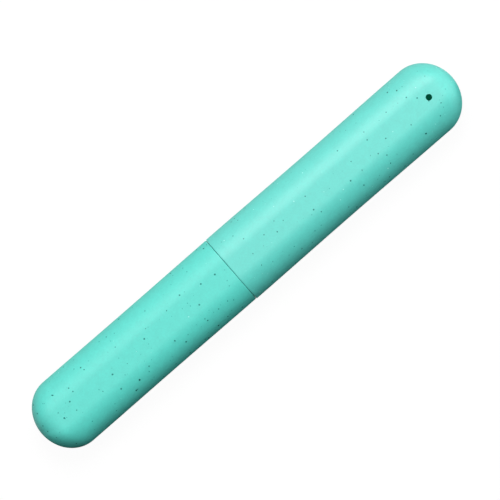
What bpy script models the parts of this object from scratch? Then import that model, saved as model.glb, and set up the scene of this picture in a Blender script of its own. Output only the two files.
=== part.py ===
"""A toothbrush travel case: a short base shell and a longer vented cap that slides over its collar.

Both shells have one section, flat above and below and round at both sides. At the seam the wall is
shared out between them: the base goes on as a thin collar, and the cap's lip passes round it with a
small clearance, so the hollow runs through both shells at one width. A low bead on each flat of the
collar lies in a recess of the lip. The cap has a vent in its upper flat, near its closed end.

Lengths are in metres. +X runs from the closed end of the base to the closed end of the cap, +Z is up,
and the origin is in the middle of the underside. Each shell is modelled from the middle of its own
mouth, on the line that the cap slides along.
"""

import math
from dataclasses import dataclass

import bmesh
import bpy

# The closed case; its width is the flat and the thickness together
CASE_LENGTH = 0.2100
CASE_THICKNESS = 0.0224
FLAT_WIDTH = 0.0073
BASE_LENGTH = 0.0966
SEAM_GAP = 0.0003
WALL = 0.0018

# Closed ends: how far the rounding reaches back from the tip, seen from above and from the side
BASE_END_REACH = 0.01335
CAP_END_REACH = 0.01395
SIDE_VIEW_REACH = 0.0093
PLAN_POWER = 2.0
SIDE_VIEW_POWER = 2.5

# The long sides draw in a little between mouth and closed end, and those of the cap stand proud
BASE_SINK = 0.0001
CAP_SINK = 0.0002
CAP_PROUD = 0.00014

# Collar of the base, inside the lip of the cap
COLLAR_LENGTH = 0.0120
COLLAR_CLEARANCE = 0.0002
COLLAR_END_GAP = 0.0005
RIM_ROUND = 0.0003
INNER_RIM_ROUND = 0.0002
RIM_ROUND_MAX_SHARE = 0.4

# Snap beads on the flats of the collar, low enough for the lip to pass over them
BEAD_LENGTH = 0.0050
BEAD_WIDTH = 0.0011
BEAD_CLEARANCE = 0.00025
BEAD_HEIGHT_SHARE = 0.7
BEAD_PLACE_SHARE = 0.6

# Vent in the upper flat of the cap
VENT_DIAMETER = 0.0025
VENT_FROM_TIP = 0.0121

# Facets
SIDE_STEPS = 16
END_STEPS = 12
HOLLOW_END_STEPS = 9
STRAIGHT_STEPS = 6
ROUND_STEPS = 3
BEAD_SEGMENTS = 20
BEAD_RINGS = 10
VENT_SEGMENTS = 32
SHARP_ANGLE = math.radians(35)
WELD = 0.000001
CUT_OVERRUN = 0.001

# Turquoise plastic, in linear colour
PLASTIC_COLOUR = (0.090, 0.660, 0.580, 1.0)
PLASTIC_ROUGHNESS = 0.48

# Worked out from the sizes above
HALF_THICKNESS = CASE_THICKNESS / 2
HALF_FLAT = FLAT_WIDTH / 2
SEAM_X = BASE_LENGTH - CASE_LENGTH / 2
CAP_LENGTH = CASE_LENGTH - BASE_LENGTH - SEAM_GAP
LIP_WALL = (WALL - COLLAR_CLEARANCE) / 2
COLLAR_INSET = LIP_WALL + COLLAR_CLEARANCE
COLLAR_REACH = COLLAR_LENGTH + COLLAR_END_GAP - SEAM_GAP
RIM_RADIUS = min(RIM_ROUND, LIP_WALL * RIM_ROUND_MAX_SHARE)
INNER_RIM_RADIUS = min(INNER_RIM_ROUND, LIP_WALL * RIM_ROUND_MAX_SHARE)
BEAD_HEIGHT = COLLAR_CLEARANCE * BEAD_HEIGHT_SHARE
BEAD_X = COLLAR_LENGTH * BEAD_PLACE_SHARE
AROUND = 2 * (SIDE_STEPS + 1)
QUARTER_TURN = math.pi / 2


@dataclass
class Station:
    """One ring of a shell, at a distance from the shell's closed end.

    inset is how far the ring lies inside the outer section, bulge moves its two round sides out
    (or in, below zero), and the shares shrink its width and height at a closed end.
    """

    distance: float
    inset: float = 0.0
    bulge: float = 0.0
    width_share: float = 1.0
    height_share: float = 1.0


def clear_scene():
    for item in list(bpy.data.objects):
        bpy.data.objects.remove(item)


def new_collection(name):
    collection = bpy.data.collections.new(name)
    bpy.context.scene.collection.children.link(collection)
    return collection


def plastic(name):
    material = bpy.data.materials.new(name)
    material.use_nodes = True
    material.diffuse_color = PLASTIC_COLOUR
    shader = material.node_tree.nodes["Principled BSDF"]
    shader.inputs["Base Color"].default_value = PLASTIC_COLOUR
    shader.inputs["Roughness"].default_value = PLASTIC_ROUGHNESS
    shader.inputs["Metallic"].default_value = 0.0
    return material


def add_object(name, mesh, collection):
    """Turns a finished bmesh into an object of the collection."""
    data = bpy.data.meshes.new(name)
    mesh.to_mesh(data)
    mesh.free()
    made = bpy.data.objects.new(name, data)
    collection.objects.link(made)
    return made


def add_shell(name, mesh, collection):
    """Adds a shell in its plastic, shaded smooth but for its sharp corners."""
    shell = add_object(name, mesh, collection)
    shell.data.materials.append(plastic(name + "_plastic"))
    shell.data.shade_smooth()
    shell.data.set_sharp_from_angle(angle=SHARP_ANGLE)
    return shell


def combine(shell, helper, place, operation):
    """Joins a helper to a shell or cuts it out, at a place measured from the shell's mouth."""
    helper.parent = shell
    helper.location = place
    helper.hide_render = True
    helper.display_type = "WIRE"
    step = shell.modifiers.new(helper.name, "BOOLEAN")
    step.operation = operation
    step.object = helper
    step.solver = "EXACT"


def section_point(station, place):
    """(y, z) of one of the AROUND places on a station's ring, from the middle of the section."""
    side, step = divmod(place % AROUND, SIDE_STEPS + 1)
    facing = 1 if side == 0 else -1
    angle = math.pi * (step / SIDE_STEPS - 0.5)
    radius = HALF_THICKNESS - station.inset
    y = HALF_FLAT + (radius + station.bulge) * math.cos(angle)
    z = radius * math.sin(angle)
    return facing * y * station.width_share, facing * z * station.height_share


def skin(stations, tip_x, direction):
    """A closed bmesh through the stations: a flat grid, a row to each, rolled round the middle."""
    mesh = bmesh.new()
    rows = len(stations) - 1
    bmesh.ops.create_grid(mesh, x_segments=rows, y_segments=AROUND, size=0.5)
    for vert in mesh.verts:
        station = stations[round((vert.co.x + 0.5) * rows)]
        y, z = section_point(station, round((vert.co.y + 0.5) * AROUND))
        vert.co = (tip_x + direction * station.distance, y, z)
    bmesh.ops.remove_doubles(mesh, verts=mesh.verts, dist=WELD)
    bmesh.ops.recalc_face_normals(mesh, faces=mesh.faces)
    return mesh


def rounding_share(distance, reach, power):
    """Share of the full size at a distance from the tip of a rounding with this reach."""
    left = max(0.0, 1 - distance / reach)
    return (1 - left**power) ** (1 / power)


def end_stations(plan_reach, inset, bulge, steps):
    """Stations of a closed end, from its tip to where the shell runs straight."""
    plan = plan_reach - inset
    side_view = SIDE_VIEW_REACH - inset
    made = []
    for step in range(steps + 1):
        distance = max(plan, side_view) * (1 - math.cos(QUARTER_TURN * step / steps))
        made.append(
            Station(
                distance + inset,
                inset,
                bulge,
                rounding_share(distance, plan, PLAN_POWER),
                rounding_share(distance, side_view, SIDE_VIEW_POWER),
            )
        )
    return made


def straight_stations(plan_reach, end, proud, sink):
    """Stations along the straight outside, whose sides draw in by the sink half way."""
    start = max(plan_reach, SIDE_VIEW_REACH)
    made = []
    for step in range(1, STRAIGHT_STEPS + 1):
        share = step / STRAIGHT_STEPS
        bulge = proud - sink * math.sin(math.pi * share) ** 2
        made.append(Station(start + (end - start) * share, bulge=bulge))
    return made


def outer_edge(end, inset, bulge):
    """Stations round the outer edge of a rim that ends at this distance."""
    made = []
    for step in range(1, ROUND_STEPS + 1):
        angle = QUARTER_TURN * step / ROUND_STEPS
        back = RIM_RADIUS * (1 - math.sin(angle))
        made.append(Station(end - back, inset + RIM_RADIUS * (1 - math.cos(angle)), bulge))
    return made


def inner_edge(end, inset):
    """Stations round the inner edge of a rim, from its end face back into the hollow."""
    made = []
    for step in range(ROUND_STEPS + 1):
        angle = QUARTER_TURN * step / ROUND_STEPS
        back = INNER_RIM_RADIUS * (1 - math.cos(angle))
        made.append(Station(end - back, inset - INNER_RIM_RADIUS * (1 - math.sin(angle))))
    return made


def hollow_stations(plan_reach):
    """Stations of the hollow's closed end, from where it runs straight to its tip."""
    return list(reversed(end_stations(plan_reach, WALL, 0.0, HOLLOW_END_STEPS)))


def base_stations():
    """The base from its outer tip, over the seam and the collar, to its inner tip."""
    collar_end = BASE_LENGTH + COLLAR_LENGTH
    return [
        *end_stations(BASE_END_REACH, 0.0, 0.0, END_STEPS),
        *straight_stations(BASE_END_REACH, BASE_LENGTH - RIM_RADIUS, 0.0, BASE_SINK),
        *outer_edge(BASE_LENGTH, 0.0, 0.0),
        Station(BASE_LENGTH, COLLAR_INSET),
        Station(collar_end - RIM_RADIUS, COLLAR_INSET),
        *outer_edge(collar_end, COLLAR_INSET, 0.0),
        *inner_edge(collar_end, WALL),
        *hollow_stations(BASE_END_REACH),
    ]


def cap_stations():
    """The cap from its outer tip, round its lip and past the collar's place, to its inner tip."""
    return [
        *end_stations(CAP_END_REACH, 0.0, CAP_PROUD, END_STEPS),
        *straight_stations(CAP_END_REACH, CAP_LENGTH - RIM_RADIUS, CAP_PROUD, CAP_SINK),
        *outer_edge(CAP_LENGTH, 0.0, CAP_PROUD),
        *inner_edge(CAP_LENGTH, LIP_WALL),
        Station(CAP_LENGTH - COLLAR_REACH, LIP_WALL),
        Station(CAP_LENGTH - COLLAR_REACH, WALL),
        *hollow_stations(CAP_END_REACH),
    ]


def snap_bead(name, collection, grown=0.0):
    """A low oval bead that straddles the collar's flat, or with grown, the space round it."""
    mesh = bmesh.new()
    bmesh.ops.create_uvsphere(mesh, u_segments=BEAD_SEGMENTS, v_segments=BEAD_RINGS, radius=1)
    half_sizes = (BEAD_WIDTH / 2 + grown, BEAD_LENGTH / 2 + grown, BEAD_HEIGHT + grown)
    bmesh.ops.scale(mesh, verts=mesh.verts, vec=half_sizes)
    return add_object(name, mesh, collection)


def vent_bar(collection):
    """A round bar that is a little longer than the wall is thick."""
    mesh = bmesh.new()
    bmesh.ops.create_cone(
        mesh,
        cap_ends=True,
        segments=VENT_SEGMENTS,
        radius1=VENT_DIAMETER / 2,
        radius2=VENT_DIAMETER / 2,
        depth=WALL + 2 * CUT_OVERRUN,
    )
    return add_object("vent_bar", mesh, collection)


def build_base(pieces, helpers):
    """The short shell, with its collar and a snap bead on either flat."""
    shell = add_shell("base_shell", skin(base_stations(), -BASE_LENGTH, 1), pieces)
    shell.location = (SEAM_X, 0.0, HALF_THICKNESS)
    bead_z = HALF_THICKNESS - COLLAR_INSET
    combine(shell, snap_bead("upper_bead", helpers), (BEAD_X, 0.0, bead_z), "UNION")
    combine(shell, snap_bead("lower_bead", helpers), (BEAD_X, 0.0, -bead_z), "UNION")
    return shell


def build_cap(pieces, helpers):
    """The long shell, with a recess in its lip for each bead, and its vent."""
    shell = add_shell("vented_cap", skin(cap_stations(), CAP_LENGTH, -1), pieces)
    recess_x = BEAD_X - SEAM_GAP
    recess_z = HALF_THICKNESS - COLLAR_INSET
    for name, z in (("upper_recess", recess_z), ("lower_recess", -recess_z)):
        space = snap_bead(name, helpers, BEAD_CLEARANCE)
        combine(shell, space, (recess_x, 0.0, z), "DIFFERENCE")
    vent_place = (CAP_LENGTH - VENT_FROM_TIP, 0.0, HALF_THICKNESS - WALL / 2)
    combine(shell, vent_bar(helpers), vent_place, "DIFFERENCE")
    return shell


def main():
    clear_scene()
    pieces = new_collection("toothbrush_travel_case")
    helpers = new_collection("cutters")
    base = build_base(pieces, helpers)
    cap = build_cap(pieces, helpers)
    cap.parent = base
    cap.location = (SEAM_GAP, 0.0, 0.0)


main()
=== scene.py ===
"""Toothbrush travel case in flecked turquoise plastic: a short base shell and a longer vented cap.

Each shell is drawn ring by ring from its mouth to its closed end, outside and inside, so it is one
closed skin with the wall's real thickness. Its beads, recesses and vent are then worked into its
flats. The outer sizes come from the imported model, and lengths are in metres. +X runs from the base's
closed end to the cap's, +Z is up, and the case lies on the floor at z = 0.
"""

import logging
import math
from collections.abc import Iterable, Mapping, Sequence
from dataclasses import dataclass
from enum import Enum
from typing import Any

import bmesh
import bpy
from mathutils import Matrix, Vector


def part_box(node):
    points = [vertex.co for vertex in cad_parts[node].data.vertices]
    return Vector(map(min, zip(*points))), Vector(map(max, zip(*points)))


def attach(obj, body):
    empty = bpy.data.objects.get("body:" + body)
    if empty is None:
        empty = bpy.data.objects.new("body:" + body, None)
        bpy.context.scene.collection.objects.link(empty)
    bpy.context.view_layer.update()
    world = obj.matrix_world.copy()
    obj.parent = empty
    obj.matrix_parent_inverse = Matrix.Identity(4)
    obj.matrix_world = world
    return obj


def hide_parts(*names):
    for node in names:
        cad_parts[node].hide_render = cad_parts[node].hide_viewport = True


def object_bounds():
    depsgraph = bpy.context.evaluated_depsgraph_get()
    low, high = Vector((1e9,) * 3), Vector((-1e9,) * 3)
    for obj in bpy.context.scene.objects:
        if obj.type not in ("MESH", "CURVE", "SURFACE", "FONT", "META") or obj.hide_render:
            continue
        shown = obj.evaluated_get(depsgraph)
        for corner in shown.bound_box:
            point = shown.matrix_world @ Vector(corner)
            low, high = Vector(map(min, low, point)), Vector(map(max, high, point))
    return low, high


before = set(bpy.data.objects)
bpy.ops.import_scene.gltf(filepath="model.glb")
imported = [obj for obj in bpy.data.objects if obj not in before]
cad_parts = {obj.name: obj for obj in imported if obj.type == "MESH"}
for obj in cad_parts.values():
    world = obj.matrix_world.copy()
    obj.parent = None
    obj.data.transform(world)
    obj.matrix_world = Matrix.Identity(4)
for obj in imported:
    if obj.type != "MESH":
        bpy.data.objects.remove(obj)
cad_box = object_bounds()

QUARTER_TURN = math.pi / 2
IMAGE_SIDE = 500
NOISE_MIDDLE = 0.5
# Points nearer to each other than WELD are one, and faces within FLAT_TOLERANCE of a flat are on it.
WELD = 1e-7
FLAT_TOLERANCE = 10 * WELD
# A ring's points within this share of half its flats' width belong to the flats, not to the sides.
FLAT_REACH = 0.9999
# A straight stretch is shared by its two ends' holds and the rest, in this many parts.
HOLD_PARTS = 3
# Where the softened foot of a dome ends, as shares of the foot's width and of the dome's height.
FOOT_REACH = 0.35
FOOT_RISE = 0.08
HOLLOW = "hollow"
PAINTED_SEAM_SHADE = "painted_seam_shade"

log = logging.getLogger("toothbrush_travel_case")


class Flat(Enum):
    """The two flats of the case, by the side of its middle on which they lie."""

    UPPER = 1
    LOWER = -1


class Ray(Enum):
    """Kinds of ray that a floor or a world can tell apart."""

    CAMERA = "Is Camera Ray"
    GLOSSY = "Is Glossy Ray"
    TRANSMISSION = "Is Transmission Ray"


# Shapes


@dataclass(frozen=True)
class Ring:
    """One loop of a shell's skin, square to the case: two half ovals joined by two flats.

    half_flat is half the width of the flats, side is how far each half oval stands out beyond them,
    and height is half the height of the loop. hollow is 1 for a ring inside the shell, and groove 1
    for one on the step at the bottom of the seam, which the finish darkens with painted shade.
    """

    x: float
    half_flat: float
    side: float
    height: float
    hollow: float = 0.0
    painted_seam_shade: float = 0.0


@dataclass(frozen=True)
class Corner:
    """A corner of a rim's outline: its distance from the closed end, its inset, and its rounding."""

    distance: float
    inset: float
    radius: float = 0.0

    def place(self) -> Vector:
        """The corner as a point of the outline."""
        return Vector((self.distance, self.inset))


@dataclass(frozen=True)
class OvalStep:
    """One ring of an oval mark: a share of the oval, plus a margin all round, at a depth."""

    share: float
    margin: float
    depth: float


@dataclass(frozen=True)
class Section:
    """The section that both shells share, measured from the middle of the case.

    wall is how thick the shells are, lip_wall how thick the cap's lip is where it goes round the
    collar, and clearance the room between the two.
    """

    middle_z: float
    half_flat: float
    radius: float
    wall: float = 0.0018
    lip_wall: float = 0.0008
    clearance: float = 0.0002

    @property
    def collar_inset(self) -> float:
        """How far the collar's outside lies inside the outer section."""
        return self.lip_wall + self.clearance

    @classmethod
    def from_frame(cls) -> "Section":
        """Reads the section from the base's box.

        Returns:
            The section, with the usual wall and clearance.
        """
        low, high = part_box("base_shell")
        radius = (high.z - low.z) / 2
        return cls(middle_z=(high.z + low.z) / 2, half_flat=high.y - radius, radius=radius)


def pull_out(
    mesh: bmesh.types.BMesh, edges: Sequence[bmesh.types.BMEdge]
) -> tuple[list[bmesh.types.BMEdge], list[bmesh.types.BMVert]]:
    """Pulls a copy out of a loop of edges, with a band of faces between the two.

    Args:
        mesh: The skin.
        edges: The loop.

    Returns:
        The edges and the vertices of the copy, which lies on the loop.
    """
    pulled = bmesh.ops.extrude_edge_only(mesh, edges=edges)["geom"]
    new_edges = [item for item in pulled if isinstance(item, bmesh.types.BMEdge)]
    return new_edges, [item for item in pulled if isinstance(item, bmesh.types.BMVert)]


class SkinDrawer:
    """Draws a skin ring by ring, each ring pulled out of the one before."""

    SIDE_STEPS = 48
    FLAT_STEPS = 10

    def __init__(self, first: Ring) -> None:
        """Starts the skin.

        Args:
            first: The ring that the skin is drawn from, both ways.
        """
        self.mesh = bmesh.new()
        self.hollow = self.mesh.verts.layers.float.new(HOLLOW)
        self.painted_seam_shade = self.mesh.verts.layers.float.new(PAINTED_SEAM_SHADE)
        self.first = first
        self.first_edges = self._first_loop(first)

    def _first_loop(self, ring: Ring) -> list[bmesh.types.BMEdge]:
        """Spins one side of a ring, mirrors it and joins the two by the flats.

        Args:
            ring: The ring to make.

        Returns:
            The edges of the closed loop.
        """
        centre = (ring.x, ring.half_flat, 0)
        low = bmesh.ops.create_vert(self.mesh, co=(ring.x, ring.half_flat, -ring.height))["vert"]
        bmesh.ops.spin(
            self.mesh,
            geom=low,
            cent=centre,
            axis=(1, 0, 0),
            angle=math.pi,
            steps=self.SIDE_STEPS,
            use_duplicate=False,
        )
        bmesh.ops.scale(
            self.mesh,
            verts=self.mesh.verts[:],
            vec=(1, ring.side / ring.height, 1),
            space=Matrix.Translation(-Vector(centre)),
        )
        bmesh.ops.mirror(
            self.mesh, geom=self.mesh.verts[:] + self.mesh.edges[:], axis="Y", merge_dist=0
        )
        for flat in Flat:
            ends = [
                vert
                for vert in self.mesh.verts
                if len(vert.link_edges) == 1 and vert.co.z * flat.value > 0
            ]
            joined = bmesh.ops.contextual_create(self.mesh, geom=ends)["edges"]
            bmesh.ops.subdivide_edges(self.mesh, edges=joined, cuts=self.FLAT_STEPS - 1)
        return self.mesh.edges[:]

    def draw(self, rings: Iterable[Ring]) -> None:
        """Draws the skin on from the first ring.

        Args:
            rings: The rings to pass through, in order. One without size closes the skin.
        """
        edges, last = self.first_edges, self.first
        for ring in rings:
            edges, verts = pull_out(self.mesh, edges)
            self._reshape(verts, last, ring)
            for vert in verts:
                vert[self.hollow] = ring.hollow
                vert[self.painted_seam_shade] = ring.painted_seam_shade
            last = ring

    def _reshape(self, verts: Sequence[bmesh.types.BMVert], last: Ring, ring: Ring) -> None:
        """Turns a copy of one ring into the next: the flats first, then each side.

        Args:
            verts: The vertices that lie on the last ring.
            last: The ring they lie on.
            ring: The ring they should lie on.
        """
        edge_of_flat = last.half_flat * FLAT_REACH
        tall = ring.height / last.height
        inner = [vert for vert in verts if abs(vert.co.y) < edge_of_flat]
        bmesh.ops.scale(self.mesh, verts=inner, vec=(1, ring.half_flat / last.half_flat, tall))
        bmesh.ops.translate(self.mesh, verts=inner, vec=(ring.x - last.x, 0, 0))
        for facing in (1, -1):
            side = [vert for vert in verts if vert.co.y * facing >= edge_of_flat]
            side = [vert for vert in side if vert not in inner]
            bmesh.ops.scale(
                self.mesh,
                verts=side,
                vec=(1, ring.side / last.side, tall),
                space=Matrix.Translation((0, -facing * last.half_flat, 0)),
            )
            step = (ring.x - last.x, facing * (ring.half_flat - last.half_flat), 0)
            bmesh.ops.translate(self.mesh, verts=side, vec=step)


@dataclass(frozen=True)
class OvalMark:
    """An oval hole, bead or recess worked into a flat of a skin.

    surface is the flat's height from the middle of the case, window is half the sides of the patch
    of flat that is laid again round the mark, and a depth below zero rises out of the wall.
    """

    x: float
    surface: float
    half_length: float
    half_width: float
    steps: tuple[OvalStep, ...]
    window: tuple[float, float]
    segments: int = 48

    @property
    def facing(self) -> int:
        """1 for a mark above the middle of the case, -1 below it."""
        return 1 if self.surface > 0 else -1

    def half_sizes(self, step: OvalStep) -> tuple[float, float]:
        """Half the mark's length and half its width at a step."""
        return self.half_length * step.share + step.margin, self.half_width * step.share + step.margin

    def open_flat(self, mesh: bmesh.types.BMesh, surface: float) -> list[bmesh.types.BMEdge]:
        """Takes the patch of flat round the mark out of a skin.

        Args:
            mesh: The skin.
            surface: Height of the flat from the middle of the case.

        Returns:
            The edges round the opening.
        """
        patch = []
        for face in mesh.faces:
            middle = face.calc_center_median()
            inside = abs(middle.x - self.x) < self.window[0] and abs(middle.y) < self.window[1]
            if inside and all(abs(vert.co.z - surface) < FLAT_TOLERANCE for vert in face.verts):
                patch.append(face)
        inner = set(patch)
        border = [
            edge
            for face in patch
            for edge in face.edges
            if any(other not in inner for other in edge.link_faces)
        ]
        bmesh.ops.delete(mesh, geom=patch, context="FACES")
        return border

    def first_ring(self, mesh: bmesh.types.BMesh) -> list[bmesh.types.BMEdge]:
        """Lays the mark's outermost ring on the flat.

        Args:
            mesh: The skin.

        Returns:
            The edges of the ring.
        """
        verts = bmesh.ops.create_circle(mesh, cap_ends=False, segments=self.segments, radius=1)["verts"]
        edges = list(dict.fromkeys(edge for vert in verts for edge in vert.link_edges))
        bmesh.ops.scale(mesh, verts=verts, vec=(*self.half_sizes(self.steps[0]), 1))
        bmesh.ops.translate(mesh, verts=verts, vec=(self.x, 0, self.surface))
        return edges

    def work(self, mesh: bmesh.types.BMesh) -> list[bmesh.types.BMEdge]:
        """Lays the flat again round the mark, and draws the mark down or up from it.

        Args:
            mesh: The skin.

        Returns:
            The edges of the mark's last ring.
        """
        border = self.open_flat(mesh, self.surface)
        edges = self.first_ring(mesh)
        fill_flat(mesh, border + edges, self.facing)
        last = self.steps[0]
        for step in self.steps[1:]:
            edges, verts = pull_out(mesh, edges)
            long, wide = self.half_sizes(step)
            last_long, last_wide = self.half_sizes(last)
            bmesh.ops.scale(
                mesh,
                verts=verts,
                vec=(long / last_long, wide / last_wide, 1),
                space=Matrix.Translation((-self.x, 0, 0)),
            )
            sink = -self.facing * (step.depth - last.depth)
            bmesh.ops.translate(mesh, verts=verts, vec=(0, 0, sink))
            last = step
        return edges


@dataclass(frozen=True)
class Dome:
    """A low oval dome with a softened foot.

    half_length is half its size along the case, half_width half that across it, and foot the width
    of the softened strip round it.
    """

    half_length: float
    half_width: float
    height: float
    foot: float
    steps: int = 6

    def oval_steps(self) -> tuple[OvalStep, ...]:
        """The steps of the dome, from the flat round its foot to its top.

        Returns:
            The steps.
        """
        made = [OvalStep(1.0, 2 * self.foot, 0.0), OvalStep(1.0, self.foot, 0.0)]
        made.append(OvalStep(1.0, self.foot * FOOT_REACH, -self.height * FOOT_RISE))
        for step in range(1, self.steps + 1):
            angle = QUARTER_TURN * step / self.steps
            share = math.cos(angle) if step < self.steps else 0.0
            made.append(OvalStep(share, 0.0, -self.height * math.sin(angle)))
        return tuple(made)


def fill_flat(
    mesh: bmesh.types.BMesh, edges: Sequence[bmesh.types.BMEdge], facing: int
) -> None:
    """Fills the flat between two loops of edges. facing is 1 if it faces up, -1 if it faces down."""
    bmesh.ops.triangle_fill(
        mesh, use_beauty=True, use_dissolve=False, edges=edges, normal=(0, 0, facing)
    )


def rounding_share(distance: float, reach: float, power: float) -> float:
    """Share of the full size at a distance from a rounding's tip. power is 2 for an ellipse."""
    left = min(1.0, max(0.0, 1 - distance / reach))
    return (1 - left**power) ** (1 / power)


def even_steps(start: float, end: float, longest: float) -> list[float]:
    """The values after each of the even steps from start to end, none longer than longest."""
    count = max(1, math.ceil(abs(end - start) / longest))
    return [start + (end - start) * step / count for step in range(1, count + 1)]


def rounded_outline(
    corners: Sequence[Corner], steps: int, hold: float, longest: float
) -> list[Vector]:
    """Points along an outline whose right-angled corners are rounded.

    Args:
        corners: The outline's start, its corners and its end.
        steps: Steps round each corner.
        hold: Distance from a rounding to the point that keeps its shading off the flat beside it.
        longest: Longest step along a straight stretch.

    Returns:
        The points in order, without the start.
    """
    made = [corners[0].place()]
    for before, corner, after in zip(corners, corners[1:], corners[2:]):
        here = corner.place()
        way_in, way_out = here - before.place(), after.place() - here
        going_in, going_out = way_in.normalized(), way_out.normalized()
        room_in = (way_in.length - before.radius - corner.radius) / HOLD_PARTS
        room_out = (way_out.length - corner.radius - after.radius) / HOLD_PARTS
        centre = here + (going_out - going_in) * corner.radius
        made.append(here - going_in * (corner.radius + min(hold, room_in)))
        for step in range(steps + 1):
            angle = QUARTER_TURN * step / steps
            turned = going_in * math.sin(angle) - going_out * math.cos(angle)
            made.append(centre + turned * corner.radius)
        made.append(here + going_out * (corner.radius + min(hold, room_out)))
    made.append(corners[-1].place())
    points = []
    for last, point in zip(made, made[1:]):
        shares = even_steps(0.0, 1.0, longest / max((point - last).length, longest))
        points.extend(last.lerp(point, share) for share in shares)
    return points


# Nodes


class Signal:
    """A value that runs between nodes. Arithmetic on it adds Math nodes."""

    def __init__(self, board: "NodeBoard", socket: bpy.types.NodeSocket) -> None:
        """Wraps an output socket.

        Args:
            board: The board that holds the node.
            socket: The output socket.
        """
        self.board = board
        self.socket = socket

    def _math(self, operation: str, first: Any, second: Any) -> "Signal":
        """Adds a Math node.

        Args:
            operation: The node's operation.
            first: First value or signal.
            second: Second value or signal.

        Returns:
            The node's result.
        """
        node = self.board.add("ShaderNodeMath", {"operation": operation}, {0: first, 1: second})
        return Signal(self.board, node.outputs[0])

    def __add__(self, other: Any) -> "Signal":
        """This plus another."""
        return self._math("ADD", self, other)

    def __radd__(self, other: Any) -> "Signal":
        """Another plus this."""
        return self._math("ADD", other, self)

    def __sub__(self, other: Any) -> "Signal":
        """This less another."""
        return self._math("SUBTRACT", self, other)

    def __rsub__(self, other: Any) -> "Signal":
        """Another less this."""
        return self._math("SUBTRACT", other, self)

    def __mul__(self, other: Any) -> "Signal":
        """This times another."""
        return self._math("MULTIPLY", self, other)

    def __rmul__(self, other: Any) -> "Signal":
        """Another times this."""
        return self._math("MULTIPLY", other, self)

    def __truediv__(self, other: Any) -> "Signal":
        """This divided by another."""
        return self._math("DIVIDE", self, other)

    def __rtruediv__(self, other: Any) -> "Signal":
        """Another divided by this."""
        return self._math("DIVIDE", other, self)

    def clamped(self) -> "Signal":
        """This, kept between 0 and 1."""
        node = self.board.add("ShaderNodeClamp", {}, {"Value": self})
        return Signal(self.board, node.outputs[0])


class NodeBoard:
    """The nodes of one material or world."""

    def __init__(self, tree: bpy.types.NodeTree) -> None:
        """Clears the tree.

        Args:
            tree: The node tree to work on.
        """
        self.tree = tree
        tree.nodes.clear()

    def add(
        self,
        kind: str,
        settings: Mapping[str, Any] | None = None,
        sockets: Mapping[str | int, Any] | None = None,
    ) -> bpy.types.Node:
        """Adds a node.

        Args:
            kind: The node's type.
            settings: Its settings, which are set first.
            sockets: A value, or a link, for each of its input sockets that needs one.

        Returns:
            The node.
        """
        node = self.tree.nodes.new(kind)
        for name, setting in (settings or {}).items():
            setattr(node, name, setting)
        for key, value in (sockets or {}).items():
            self.feed(node.inputs[key], value)
        return node

    def feed(self, socket: bpy.types.NodeSocket, value: Any) -> None:
        """Sets an input socket, or links it.

        Args:
            socket: The input socket.
            value: A plain value, a signal or an output socket.
        """
        if isinstance(value, Signal):
            self.tree.links.new(value.socket, socket)
        elif isinstance(value, bpy.types.NodeSocket):
            self.tree.links.new(value, socket)
        else:
            socket.default_value = value

    def signal(self, node: bpy.types.Node, output: str | int = 0) -> Signal:
        """One of a node's outputs as a signal."""
        return Signal(self, node.outputs[output])

    def mixed(self, factor: Any, first: Any, second: Any) -> bpy.types.NodeSocket:
        """Mixes two colours.

        Args:
            factor: Share of the second colour.
            first: The first colour.
            second: The second colour.

        Returns:
            The mixed colour's socket.
        """
        factor_at, first_at, second_at, result_at = 0, 6, 7, 2
        sockets = {factor_at: factor, first_at: first, second_at: second}
        node = self.add("ShaderNodeMix", {"data_type": "RGBA"}, sockets)
        return node.outputs[result_at]

    def moved(self, vector: Any, operation: str, amount: Any) -> bpy.types.NodeSocket:
        """Works on a vector by a Vector Math operation."""
        settings = {"operation": operation}
        return self.add("ShaderNodeVectorMath", settings, {0: vector, 1: amount}).outputs[0]

    def light_path(self, ray: Ray) -> Signal:
        """1 for rays of one kind, otherwise 0."""
        return self.signal(self.add("ShaderNodeLightPath"), ray.value)


# Finishes

Colour = tuple[float, float, float, float]


def grey(level: float) -> Colour:
    """A grey of a level."""
    return level, level, level, 1.0


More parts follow.
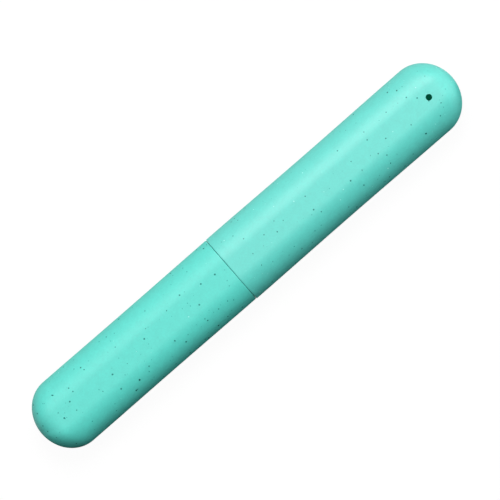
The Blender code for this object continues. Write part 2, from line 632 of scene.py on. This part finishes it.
@dataclass(frozen=True)
class FleckLayer:
    """Bits of one kind that lie all through the plastic and show where the surface cuts them.

    spacing is the mean distance between neighbouring bits, radius that of the largest, strength how
    far they cover the plastic, and stretch how many times as long as wide they are, along a way
    turned by turn. dulls is how far they take away the sheen, smallest and faintest are the size and
    cover of the least of them as shares of the most, and blur is the softness of their edges.
    """

    tint: Colour
    spacing: float
    radius: float
    strength: float = 1.0
    dulls: float = 1.0
    stretch: float = 1.0
    turn: tuple[float, float, float] = (0.0, 0.0, 0.0)
    offset: tuple[float, float, float] = (0.0, 0.0, 0.0)
    smallest: float = 0.5
    faintest: float = 0.45
    blur: float = 0.25

    def mask(self, board: NodeBoard, place: Any) -> Signal:
        """How much of each point the bits cover.

        Args:
            board: The board of the material.
            place: The place of the point.

        Returns:
            The cover, from 0 to 1.
        """
        mapping = self.add_mapping(board, place)
        cells = board.add(
            "ShaderNodeTexVoronoi",
            {"feature": "F1", "distance": "EUCLIDEAN"},
            {"Vector": mapping, "Scale": 1 / self.spacing, "Randomness": 1.0},
        )
        chance = board.add("ShaderNodeSeparateColor", {}, {"Color": cells.outputs["Color"]})
        size, cover = board.signal(chance, "Red"), board.signal(chance, "Blue")
        largest = self.radius / self.spacing
        radius = (size * (1 - self.smallest) + self.smallest) * largest
        inside = (radius - board.signal(cells, "Distance")) / (self.blur * largest)
        return inside.clamped() * (cover * (1 - self.faintest) + self.faintest) * self.strength

    def add_mapping(self, board: NodeBoard, place: Any) -> bpy.types.NodeSocket:
        """Turns and squeezes space, so that round cells come out long.

        Args:
            board: The board of the material.
            place: The place of the point.

        Returns:
            The squeezed place.
        """
        turned = board.add(
            "ShaderNodeMapping",
            {"vector_type": "POINT"},
            {"Vector": place, "Location": self.offset, "Rotation": self.turn},
        )
        squeeze = (1 / self.stretch, 1.0, 1.0)
        return board.moved(turned.outputs[0], "MULTIPLY", squeeze)


@dataclass(frozen=True)
class FleckedPlastic:
    """Moulded plastic with a fine matt grain, a faint mottle and flecks.

    Its hollow gives off a faint light, glow, which is painted light standing in for light that comes
    through the thin wall. painted_seam_shade_tint is painted shade, the dark tone without sheen on the step
    at the bottom of the seam, fleck_sink how deep flecks lie in it as a share of the grain's depth, and
    waver how far their outlines stray. Lengths are in metres and colours are linear.
    """

    name: str
    colour: Colour
    roughness: float
    refraction: float
    layers: tuple[FleckLayer, ...]
    spread: float = 0.10
    mottle_size: float = 0.0032
    mottle_detail: float = 3.0
    mottle_share: float = 0.7
    grain_size: float = 0.0008
    grain_detail: float = 2.0
    grain_share: float = 0.7
    grain_depth: float = 0.000008
    fleck_sink: float = 0.5
    roughness_spread: float = 0.08
    waver: float = 0.00022
    waver_size: float = 0.0007
    waver_detail: float = 1.0
    painted_hollow_light: Colour = (0.0, 0.022, 0.013, 1.0)
    painted_seam_shade_tint: Colour = (0.0, 0.120, 0.100, 1.0)

    def shade(self, share: float) -> Colour:
        """The colour, at a share of its brightness."""
        red, green, blue, solid = self.colour
        return red * share, green * share, blue * share, solid

    def noise(self, board: NodeBoard, place: Any, size: float, detail: float) -> bpy.types.Node:
        """The node of a soft noise, mostly between 0.3 and 0.7, with largest features of a size."""
        sockets = {"Vector": place, "Scale": 1 / size, "Detail": detail}
        return board.add("ShaderNodeTexNoise", {}, sockets)

    def wavered(self, board: NodeBoard, place: Any) -> bpy.types.NodeSocket:
        """The place of a point pushed about a little, so that the flecks' outlines aren't regular.

        Args:
            board: The board of the material.
            place: The place of the point.

        Returns:
            The place after the push.
        """
        noise = self.noise(board, place, self.waver_size, self.waver_detail)
        push = board.moved(noise.outputs["Color"], "SUBTRACT", (NOISE_MIDDLE,) * 3)
        push = board.moved(push, "MULTIPLY", (self.waver,) * 3)
        return board.moved(place, "ADD", push)

    def make(self) -> bpy.types.Material:
        """Makes the material.

        Returns:
            The material.
        """
        material = bpy.data.materials.new(self.name)
        material.use_nodes = True
        material.diffuse_color = self.colour
        board = NodeBoard(material.node_tree)
        place = board.add("ShaderNodeTexCoord").outputs["Object"]

        mottle = board.signal(self.noise(board, place, self.mottle_size, self.mottle_detail))
        mottle = (mottle - NOISE_MIDDLE) * self.mottle_share
        grain = board.signal(self.noise(board, place, self.grain_size, self.grain_detail))
        tone = (mottle + (grain - NOISE_MIDDLE) * self.grain_share + NOISE_MIDDLE).clamped()
        colour = board.mixed(tone, self.shade(1 - self.spread), self.shade(1 + self.spread))

        # Painted shade: the step at the bottom of the seam is darkened to painted_seam_shade_tint and loses
        # its sheen.
        dulled_flecks_and_painted_seam_shade = board.signal(board.add("ShaderNodeAttribute", {"attribute_name": PAINTED_SEAM_SHADE}), "Fac")
        colour = board.mixed(dulled_flecks_and_painted_seam_shade, colour, self.painted_seam_shade_tint)
        fleck_place = self.wavered(board, place)
        for layer in self.layers:
            mask = layer.mask(board, fleck_place)
            colour = board.mixed(mask, colour, layer.tint)
            dulled_flecks_and_painted_seam_shade = dulled_flecks_and_painted_seam_shade + mask * layer.dulls

        roughness = self.roughness + (grain - NOISE_MIDDLE) * self.roughness_spread
        # Painted light: the inside of the hollow glows faintly, standing in for light that comes through
        # the thin wall.
        hollow = board.signal(board.add("ShaderNodeAttribute", {"attribute_name": HOLLOW}), "Fac")
        shader = board.add(
            "ShaderNodeBsdfPrincipled",
            {},
            {
                "Base Color": colour,
                "Roughness": roughness,
                "IOR": self.refraction,
                "Metallic": dulled_flecks_and_painted_seam_shade.clamped(),
                "Emission Color": board.mixed(hollow, grey(0.0), self.painted_hollow_light),
                "Emission Strength": 1.0,
            },
        )
        height = grain - dulled_flecks_and_painted_seam_shade * self.fleck_sink
        bump = board.add(
            "ShaderNodeBump", {}, {"Strength": 1.0, "Distance": self.grain_depth, "Height": height}
        )
        board.feed(shader.inputs["Normal"], bump.outputs[0])
        board.add("ShaderNodeOutputMaterial", {}, {"Surface": shader.outputs[0]})
        return material


@dataclass(frozen=True)
class StudioWhite:
    """White of the floor: card to the lamps' light, and white paper to the camera.

    shown is how bright it is to the camera before any lamp, and shadow how much of the lamps' light
    it adds there, so that the object's shadow stays. lit_card and painted_shade_tone are its colour to the
    other rays, on the side that the lamps stand on and on the other, over an edge as wide as edge;
    painted_shade_tone is painted shade on the side away from the lamps. glossy is how much of the white the
    object mirrors on the lit side; on the other side the mirrored floor is painted dark.
    """

    name: str = "studio_white"
    shown: float = 0.95
    shadow: float = 0.06
    lit_card: float = 0.4
    painted_shade_tone: float = 0.02
    edge: float = 0.01
    glossy: float = 0.3

    def make(self) -> bpy.types.Material:
        """Makes the material.

        Returns:
            The material.
        """
        material = bpy.data.materials.new(self.name)
        material.use_nodes = True
        board = NodeBoard(material.node_tree)
        place = board.add("ShaderNodeTexCoord").outputs["Object"]
        across = board.signal(board.add("ShaderNodeSeparateXYZ", {}, {0: place}), "Y")
        side = (across / self.edge + 0.5).clamped()
        # Painted shade: to bounce and mirror rays the floor is dark on the side away from the lamps.
        card = board.mixed(side, grey(self.painted_shade_tone), grey(self.lit_card))
        lit = board.add("ShaderNodeBsdfDiffuse", {}, {"Color": card})
        faint = board.add("ShaderNodeBsdfDiffuse", {}, {"Color": grey(self.shadow)})
        paper = board.add("ShaderNodeEmission", {}, {"Color": grey(1.0), "Strength": self.shown})
        seen = board.add("ShaderNodeAddShader", {}, {0: paper.outputs[0], 1: faint.outputs[0]})
        straight = board.light_path(Ray.CAMERA) + board.light_path(Ray.TRANSMISSION)
        factor = (straight + board.light_path(Ray.GLOSSY) * side * self.glossy).clamped()
        shader = board.add(
            "ShaderNodeMixShader", {}, {0: factor, 1: lit.outputs[0], 2: seen.outputs[0]}
        )
        board.add("ShaderNodeOutputMaterial", {}, {"Surface": shader.outputs[0]})
        return material


# The two shells


@dataclass
class Shell:
    """A shell with one closed end, drawn by distances from the tip of that end.

    inward is the way along X from the tip to the mouth, plan_reach and side_reach are how far the
    end's rounding reaches back seen from above and from the side, and the long sides stand proud
    of the section by proud, less a sink half way along. edge_reach is how far the edge at the seam
    stands beyond the solid's, and lead_in how far the rim's outline goes on into the hollow. Flat is
    laid again round a dome, as far as dome_window along the case and dome_flat_share of the flat's
    half width across it.
    """

    piece_name: str
    node: str
    body: str
    section: Section
    finish: FleckedPlastic
    tip_x: float
    inward: int
    length: float
    plan_reach: float
    proud: float
    sink: float
    side_reach: float = 0.0093
    plan_power: float = 2.0
    side_power: float = 2.5
    rim_radius: float = 0.00012
    inner_rim_radius: float = 0.0002
    root_radius: float = 0.00012
    edge_reach: float = 0.0
    lead_in: float = 0.001
    dome_window: float = 0.0017
    dome_flat_share: float = 0.95
    ease_length: float = 0.0008
    ease_depth: float = 0.00004
    ease_step: float = 0.0001
    hold: float = 0.00012
    end_steps: int = 44
    hollow_end_steps: int = 30
    rim_steps: int = 4
    long_step: float = 0.004
    rim_step: float = 0.001
    sharp_angle: float = math.radians(40)

    SLOT = "flecked_turquoise_plastic"

    def x_at(self, distance: float) -> float:
        """Where a distance from the tip is, along X."""
        return self.tip_x + self.inward * distance

    def outer_ring(self, distance: float) -> Ring:
        """The outside at a distance from the tip.

        Args:
            distance: Distance from the tip.

        Returns:
            The ring.
        """
        wide = rounding_share(distance, self.plan_reach, self.plan_power)
        tall = rounding_share(distance, self.side_reach, self.side_power)
        straight = self.length - self.rim_radius - self.plan_reach
        along = min(1.0, max(0.0, (distance - self.plan_reach) / straight))
        bulge = self.proud - self.sink * math.sin(math.pi * along) ** 2
        section = self.section
        return Ring(
            self.x_at(distance),
            section.half_flat * wide,
            (section.radius + bulge) * wide,
            section.radius * tall,
        )

    def inner_ring(self, distance: float) -> Ring:
        """The hollow at a distance from the outer tip.

        Args:
            distance: Distance from the outer tip.

        Returns:
            The ring.
        """
        wall = self.section.wall
        wide = rounding_share(distance - wall, self.plan_reach - wall, self.plan_power)
        tall = rounding_share(distance - wall, self.side_reach - wall, self.side_power)
        radius = self.section.radius - wall
        half_flat = self.section.half_flat * wide
        return Ring(self.x_at(distance), half_flat, radius * wide, radius * tall, hollow=1.0)

    def rim_ring(self, point: Vector) -> Ring:
        """The skin at a point of the rim's outline, whose outer edge is drawn in a little.

        Args:
            point: Distance from the tip, and inset.

        Returns:
            The ring.
        """
        distance, inset = point
        near_edge = min(1.0, max(0.0, 1 - (self.edge - distance) / self.ease_length))
        outside = max(0.0, 1 - inset / self.rim_depth)
        radius = self.section.radius - inset - self.ease_depth * outside * near_edge**2
        bulge = self.proud * max(0.0, 1 - inset / self.section.lip_wall)
        # Points on the step at the bottom of the seam get painted shade.
        half_flat, painted_seam_shade = self.section.half_flat, float(self.in_groove(point))
        return Ring(self.x_at(distance), half_flat, radius + bulge, radius, painted_seam_shade=painted_seam_shade)

    @property
    def edge(self) -> float:
        """How far from the tip the edge at the seam is."""
        return self.length + self.edge_reach

    @property
    def rim_depth(self) -> float:
        """How deep the face at the seam is."""
        raise NotImplementedError

    def in_groove(self, point: Vector) -> bool:
        """Whether a point of the rim's outline is on the step at the bottom of the seam."""
        return False

    def rim_corners(self) -> list[Corner]:
        """The corners that the rim's outline passes, from the seam's edge to the hollow."""
        raise NotImplementedError

    def draw_skin(self) -> bmesh.types.BMesh:
        """Draws the outside to its tip, then the rim and the hollow to theirs.

        Returns:
            The skin, with the middle of the case at z = 0.
        """
        start = self.edge - self.ease_length
        drawer = SkinDrawer(self.outer_ring(start))
        outside = even_steps(start, self.plan_reach, self.long_step)
        outside += self.end_distances(self.plan_reach, self.end_steps)
        drawer.draw(self.outer_ring(distance) for distance in outside)

        eased = self.edge - self.rim_radius - 2 * self.hold
        rim = [Vector((distance, 0)) for distance in even_steps(start, eased, self.ease_step)]
        corners = [Corner(eased, 0.0)] + self.rim_corners()
        rim += rounded_outline(corners, self.rim_steps, self.hold, self.rim_step)
        wall = self.section.wall
        hollow = even_steps(corners[-1].distance, self.plan_reach, self.long_step)
        hollow += [
            wall + distance
            for distance in self.end_distances(self.plan_reach - wall, self.hollow_end_steps)
        ]
        rings = [self.rim_ring(point) for point in rim]
        drawer.draw(rings + [self.inner_ring(distance) for distance in hollow])
        bmesh.ops.remove_doubles(drawer.mesh, verts=drawer.mesh.verts[:], dist=WELD)
        return drawer.mesh

    @staticmethod
    def end_distances(reach: float, steps: int) -> list[float]:
        """Distances from the tip of an end, at even turns of its rounding, down to 0."""
        return [
            reach * (1 - math.cos(QUARTER_TURN * (steps - step) / steps))
            for step in range(1, steps + 1)
        ]

    def raise_domes(
        self, mesh: bmesh.types.BMesh, dome: Dome, distance: float, inset: float
    ) -> None:
        """Raises a dome outwards on both flats.

        Args:
            mesh: The skin.
            dome: The dome.
            distance: Distance of its middle from the tip.
            inset: How far the flats lie inside the outer section.
        """
        for flat in Flat:
            OvalMark(
                x=self.x_at(distance),
                surface=flat.value * (self.section.radius - inset),
                half_length=dome.half_length,
                half_width=dome.half_width,
                steps=dome.oval_steps(),
                window=(self.dome_window, self.section.half_flat * self.dome_flat_share),
            ).work(mesh)

    def work_marks(self, mesh: bmesh.types.BMesh) -> None:
        """Works the shell's marks into its flats.

        Args:
            mesh: The skin.
        """
        raise NotImplementedError

    def build(self) -> bpy.types.Object:
        """Makes the shell, in its finish, and puts it in place of its CAD node.

        Returns:
            The finished piece.
        """
        mesh = self.draw_skin()
        self.work_marks(mesh)
        bmesh.ops.translate(mesh, verts=mesh.verts[:], vec=(0, 0, self.section.middle_z))
        bmesh.ops.remove_doubles(mesh, verts=mesh.verts[:], dist=WELD)
        bmesh.ops.recalc_face_normals(mesh, faces=mesh.faces[:])
        data = bpy.data.meshes.new(self.piece_name)
        mesh.to_mesh(data)
        mesh.free()
        data.shade_smooth()
        data.set_sharp_from_angle(angle=self.sharp_angle)
        piece = bpy.data.objects.new(self.piece_name, data)
        bpy.context.scene.collection.objects.link(piece)
        data.materials.append(self.finish.make())
        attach(piece, self.body)
        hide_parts(self.node)
        return piece


@dataclass
class BaseShell(Shell):
    """The short shell, whose wall goes on beyond the seam as a thin collar with two snap beads.

    Its edge stands edge_reach nearer to the cap than the solid's, and a low step behind it fills
    most of the seam's width, so that the seam shows as a fine line. The step is darkened with
    painted shade.
    """

    collar_length: float = 0.0120
    edge_reach: float = 0.00012
    stop_inset: float = 0.0003
    stop_length: float = 0.00024
    stop_radius: float = 0.00004
    bead_place: float = 0.0072
    bead: Dome = Dome(half_length=0.00055, half_width=0.0025, height=0.00014, foot=0.00015)
    collar_radius: float = 0.0003

    @property
    def rim_depth(self) -> float:
        """How deep the face at the seam is."""
        return self.stop_inset

    def in_groove(self, point: Vector) -> bool:
        """Whether a point of the rim's outline is on the step at the bottom of the seam."""
        distance, inset = point
        along = self.edge - WELD < distance < self.length + self.stop_length
        return along and abs(inset - self.stop_inset) < self.stop_radius / 2

    def rim_corners(self) -> list[Corner]:
        """The corners of the seam's edge, the stop behind it, the collar's root and its end."""
        section = self.section
        stop_end = self.length + self.stop_length
        collar_end = self.length + self.collar_length
        return [
            Corner(self.edge, 0.0, self.rim_radius),
            Corner(self.edge, self.stop_inset, self.stop_radius),
            Corner(stop_end, self.stop_inset, self.stop_radius),
            Corner(stop_end, section.collar_inset, self.stop_radius),
            Corner(collar_end, section.collar_inset, self.collar_radius),
            Corner(collar_end, section.wall, self.inner_rim_radius),
            Corner(self.length - self.lead_in, section.wall),
        ]

    def work_marks(self, mesh: bmesh.types.BMesh) -> None:
        """Raises a bead on each flat of the collar.

        Args:
            mesh: The skin.
        """
        place = self.length + self.bead_place
        self.raise_domes(mesh, self.bead, place, self.section.collar_inset)


@dataclass
class VentedCap(Shell):
    """The long shell, relieved inside its mouth for the collar, with a vent near its closed end."""

    collar_reach: float = 0.0122
    recess_place: float = 0.0069
    recess: Dome = Dome(half_length=0.00069, half_width=0.00236, height=0.00019, foot=0.00012)
    vent_from_tip: float = 0.0121
    vent_radius: float = 0.00125
    vent_edge: float = 0.00007
    vent_window: float = 0.0022

    @property
    def rim_depth(self) -> float:
        """How deep the face at the seam is."""
        return self.section.lip_wall

    def rim_corners(self) -> list[Corner]:
        """The corners of the lip's two edges and of the shoulder behind the collar."""
        section = self.section
        shoulder = self.length - self.collar_reach
        return [
            Corner(self.length, 0.0, self.rim_radius),
            Corner(self.length, section.lip_wall, self.inner_rim_radius),
            Corner(shoulder, section.lip_wall, self.root_radius),
            Corner(shoulder, section.wall, self.root_radius),
            Corner(shoulder - self.lead_in, section.wall),
        ]

    def work_marks(self, mesh: bmesh.types.BMesh) -> None:
        """Sinks a recess for each bead into the lip, and opens the vent.

        Args:
            mesh: The skin.
        """
        place = self.length - self.recess_place
        self.raise_domes(mesh, self.recess, place, self.section.lip_wall)
        self.open_vent(mesh)

    def open_vent(self, mesh: bmesh.types.BMesh) -> None:
        """Opens the vent through the upper flat, with rounded edges outside and inside.

        Args:
            mesh: The skin.
        """
        edge, wall = self.vent_edge, self.section.wall
        turns = [QUARTER_TURN * step / self.rim_steps for step in range(self.rim_steps + 1)]
        steps = [OvalStep(1.0, edge + self.hold, 0.0)]
        for turn in turns:
            steps.append(OvalStep(1.0, edge * (1 - math.sin(turn)), edge * (1 - math.cos(turn))))
        for turn in turns:
            depth = wall - edge * (1 - math.sin(turn))
            steps.append(OvalStep(1.0, edge * (1 - math.cos(turn)), depth))
        steps.append(OvalStep(1.0, edge + self.hold, wall))
        vent = OvalMark(
            x=self.x_at(self.vent_from_tip),
            surface=self.section.radius,
            half_length=self.vent_radius,
            half_width=self.vent_radius,
            steps=tuple(steps),
            window=(self.vent_window, self.vent_window),
        )
        inner_border = vent.open_flat(mesh, self.section.radius - wall)
        inner_ring = vent.work(mesh)
        fill_flat(mesh, inner_border + inner_ring, -1)


# Studio


@dataclass(frozen=True)
class Softbox:
    """A square soft lamp that faces a point of the case.

    aim is how far along the case that point is from its middle, distance how far off the lamp is,
    tilt its angle from the vertical and azimuth that round the vertical, from +X to +Y. level is the
    light it gives, as a share of what would show a colour as written, side the length of its sides,
    and mirrored whether the sheen shows it.
    """

    name: str
    level: float
    distance: float
    tilt: float
    azimuth: float
    side: float
    aim: float = 0.0
    mirrored: bool = True

    def make(self) -> bpy.types.Object:
        """Makes the lamp.

        Returns:
            The lamp's object.
        """
        lamp = bpy.data.lights.new(self.name, "AREA")
        lamp.shape = "SQUARE"
        lamp.size = self.side
        # A lamp of power P and area A shines with P / (pi A), and lights what faces it at r metres
        # by that times A / r2, which shows a white as it is where it comes to pi.
        lamp.energy = self.level * (math.pi * self.distance) ** 2
        tilt, azimuth = math.radians(self.tilt), math.radians(self.azimuth)
        round_about = Vector((math.cos(azimuth), math.sin(azimuth), 0)) * math.sin(tilt)
        away = (round_about + Vector((0, 0, math.cos(tilt)))) * self.distance
        made = bpy.data.objects.new(self.name, lamp)
        made.location = away + Vector((self.aim, 0, 0))
        made.rotation_euler = away.to_track_quat("Z", "Y").to_euler()
        made.visible_camera = False
        made.visible_glossy = self.mirrored
        bpy.context.scene.collection.objects.link(made)
        return made


@dataclass
class Studio:
    """A white table, its lamps and the camera above it."""

    case_length: float
    middle: Vector
    lamps: tuple[Softbox, ...]
    white: StudioWhite = StudioWhite()
    ambient: float = 0.03
    floor_side: float = 6.0
    turn: float = math.radians(41.03)
    length_in_pixels: float = 543.7
    pixels_left: float = 2.93
    pixels_down: float = 5.48
    lens: float = 1000.0
    sensor: float = 36.0

    def lay_floor(self) -> bpy.types.Object:
        """Lays the floor that the case lies on.

        Returns:
            The floor's object.
        """
        mesh = bmesh.new()
        bmesh.ops.create_grid(mesh, x_segments=1, y_segments=1, size=self.floor_side / 2)
        data = bpy.data.meshes.new("studio_floor")
        mesh.to_mesh(data)
        mesh.free()
        floor = bpy.data.objects.new("studio_floor", data)
        bpy.context.scene.collection.objects.link(floor)
        data.materials.append(self.white.make())
        return floor

    def light_world(self) -> None:
        """Makes the world white to the camera, and a weak even light to the object."""
        world = bpy.data.worlds.new("studio_world")
        world.use_nodes = True
        bpy.context.scene.world = world
        board = NodeBoard(world.node_tree)
        straight = board.light_path(Ray.CAMERA) + board.light_path(Ray.TRANSMISSION)
        strength = straight.clamped() * (1 - self.ambient) + self.ambient
        sky = board.add("ShaderNodeBackground", {}, {"Color": grey(1.0), "Strength": strength})
        board.add("ShaderNodeOutputWorld", {}, {"Surface": sky.outputs[0]})

    def place_camera(self) -> bpy.types.Object:
        """Hangs the camera straight above the case, turned as in the photograph.

        Returns:
            The camera's object.
        """
        pixel = self.case_length / self.length_in_pixels
        to_right = Vector((math.cos(self.turn), -math.sin(self.turn), 0))
        to_top = Vector((math.sin(self.turn), math.cos(self.turn), 0))
        aim = self.middle + to_right * self.pixels_left * pixel + to_top * self.pixels_down * pixel
        away = IMAGE_SIDE * pixel * self.lens / self.sensor
        data = bpy.data.cameras.new("studio_camera")
        data.lens = self.lens
        data.sensor_width = self.sensor
        data.dof.use_dof = False
        camera = bpy.data.objects.new("studio_camera", data)
        camera.location = aim + Vector((0, 0, away))
        camera.rotation_euler = (0, 0, -self.turn)
        bpy.context.scene.collection.objects.link(camera)
        bpy.context.scene.camera = camera
        return camera

    def set_up(self) -> None:
        """Sets up the floor, the world, the lamps and the camera."""
        self.lay_floor()
        self.light_world()
        for lamp in self.lamps:
            lamp.make()
        self.place_camera()
        bpy.context.scene.view_settings.view_transform = "Standard"


# The case

BASE_TURQUOISE = (0.088, 0.655, 0.564, 1.0)
# CAP_TURQUOISE is a little paler than BASE_TURQUOISE: painted sheen, standing in for the stronger sheen
# that the light gives the cap.
CAP_TURQUOISE = (0.099, 0.641, 0.560, 1.0)
DARK_FLECK = (0.000, 0.120, 0.110, 1.0)
GREY_FLECK = (0.000, 0.260, 0.230, 1.0)
PALE_FLECK = (0.500, 0.950, 0.920, 1.0)

BASE_FLECKS = (
    FleckLayer(GREY_FLECK, spacing=0.0024, radius=0.00030, strength=0.85),
    FleckLayer(
        DARK_FLECK,
        spacing=0.0031,
        radius=0.00046,
        smallest=0.6,
        faintest=0.7,
        offset=(0.041, 0.003, 0.022),
    ),
    FleckLayer(
        DARK_FLECK,
        spacing=0.0050,
        radius=0.00029,
        faintest=0.7,
        stretch=2.2,
        turn=(0.3, 0.4, 0.9),
        offset=(0.013, 0.021, 0.008),
    ),
    FleckLayer(
        PALE_FLECK,
        spacing=0.0052,
        radius=0.00034,
        strength=0.8,
        dulls=0.0,
        offset=(0.005, 0.037, 0.027),
    ),
)
CAP_FLECKS = (
    FleckLayer(
        GREY_FLECK, spacing=0.0031, radius=0.00029, strength=0.85, offset=(0.011, 0.0, 0.0)
    ),
    FleckLayer(
        DARK_FLECK,
        spacing=0.0037,
        radius=0.00041,
        smallest=0.6,
        faintest=0.65,
        offset=(0.017, 0.009, 0.031),
    ),
    FleckLayer(
        DARK_FLECK,
        spacing=0.0060,
        radius=0.00028,
        stretch=2.2,
        turn=(0.2, 0.5, 2.1),
        offset=(0.029, 0.014, 0.003),
    ),
    FleckLayer(
        PALE_FLECK,
        spacing=0.0036,
        radius=0.00034,
        strength=0.8,
        dulls=0.0,
        offset=(0.008, 0.026, 0.019),
    ),
)

LAMPS = (
    Softbox("key_softbox", 0.966, distance=0.85, tilt=30, azimuth=60, side=0.5),
    Softbox("fill_softbox", 0.068, distance=0.85, tilt=45, azimuth=150, side=0.5),
    Softbox("low_back_softbox", 0.098, distance=0.85, tilt=75, azimuth=90, side=0.5),
    Softbox("low_end_softbox", 0.253, distance=0.60, tilt=75, azimuth=0, side=0.45, aim=0.06),
    Softbox(
        "low_front_softbox", 0.560, distance=0.60, tilt=75, azimuth=330, side=0.45, aim=0.06, mirrored=False
    ),
    Softbox("front_card", 0.169, distance=0.35, tilt=45, azimuth=180, side=0.25, aim=0.06, mirrored=False),
)


def base_shell(section: Section) -> BaseShell:
    """The base, from the box of its node, which ends where the collar does.

    Args:
        section: The section that both shells share.

    Returns:
        The base, ready to build.
    """
    low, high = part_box("base_shell")
    return BaseShell(
        piece_name="base_shell_finished",
        node="base_shell",
        body="base",
        section=section,
        finish=FleckedPlastic(
            name="base_turquoise",
            colour=BASE_TURQUOISE,
            roughness=0.60,
            refraction=1.78,
            layers=BASE_FLECKS,
        ),
        tip_x=low.x,
        inward=1,
        length=high.x - low.x - BaseShell.collar_length,
        plan_reach=0.01335,
        proud=0.0,
        sink=0.0001,
    )


def vented_cap(section: Section) -> VentedCap:
    """The cap, from the box of its node.

    Args:
        section: The section that both shells share.

    Returns:
        The cap, ready to build.
    """
    low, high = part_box("vented_cap")
    return VentedCap(
        piece_name="vented_cap_finished",
        node="vented_cap",
        body="cap",
        section=section,
        finish=FleckedPlastic(
            name="cap_turquoise",
            colour=CAP_TURQUOISE,
            roughness=0.58,
            refraction=1.96,
            layers=CAP_FLECKS,
        ),
        tip_x=high.x,
        inward=-1,
        length=high.x - low.x,
        plan_reach=0.01395,
        proud=high.y - section.half_flat - section.radius,
        sink=0.0002,
    )


def main() -> None:
    """Builds the two shells and the studio, and reports each piece."""
    logging.basicConfig(level=logging.INFO, format="%(name)s: %(message)s")
    section = Section.from_frame()
    for shell in (base_shell(section), vented_cap(section)):
        piece = shell.build()
        log.info("%s: %d faces, rides on %s", piece.name, len(piece.data.polygons), shell.body)
    low, high = cad_box
    Studio(case_length=high.x - low.x, middle=(low + high) / 2, lamps=LAMPS).set_up()


if __name__ == "__main__":
    main()
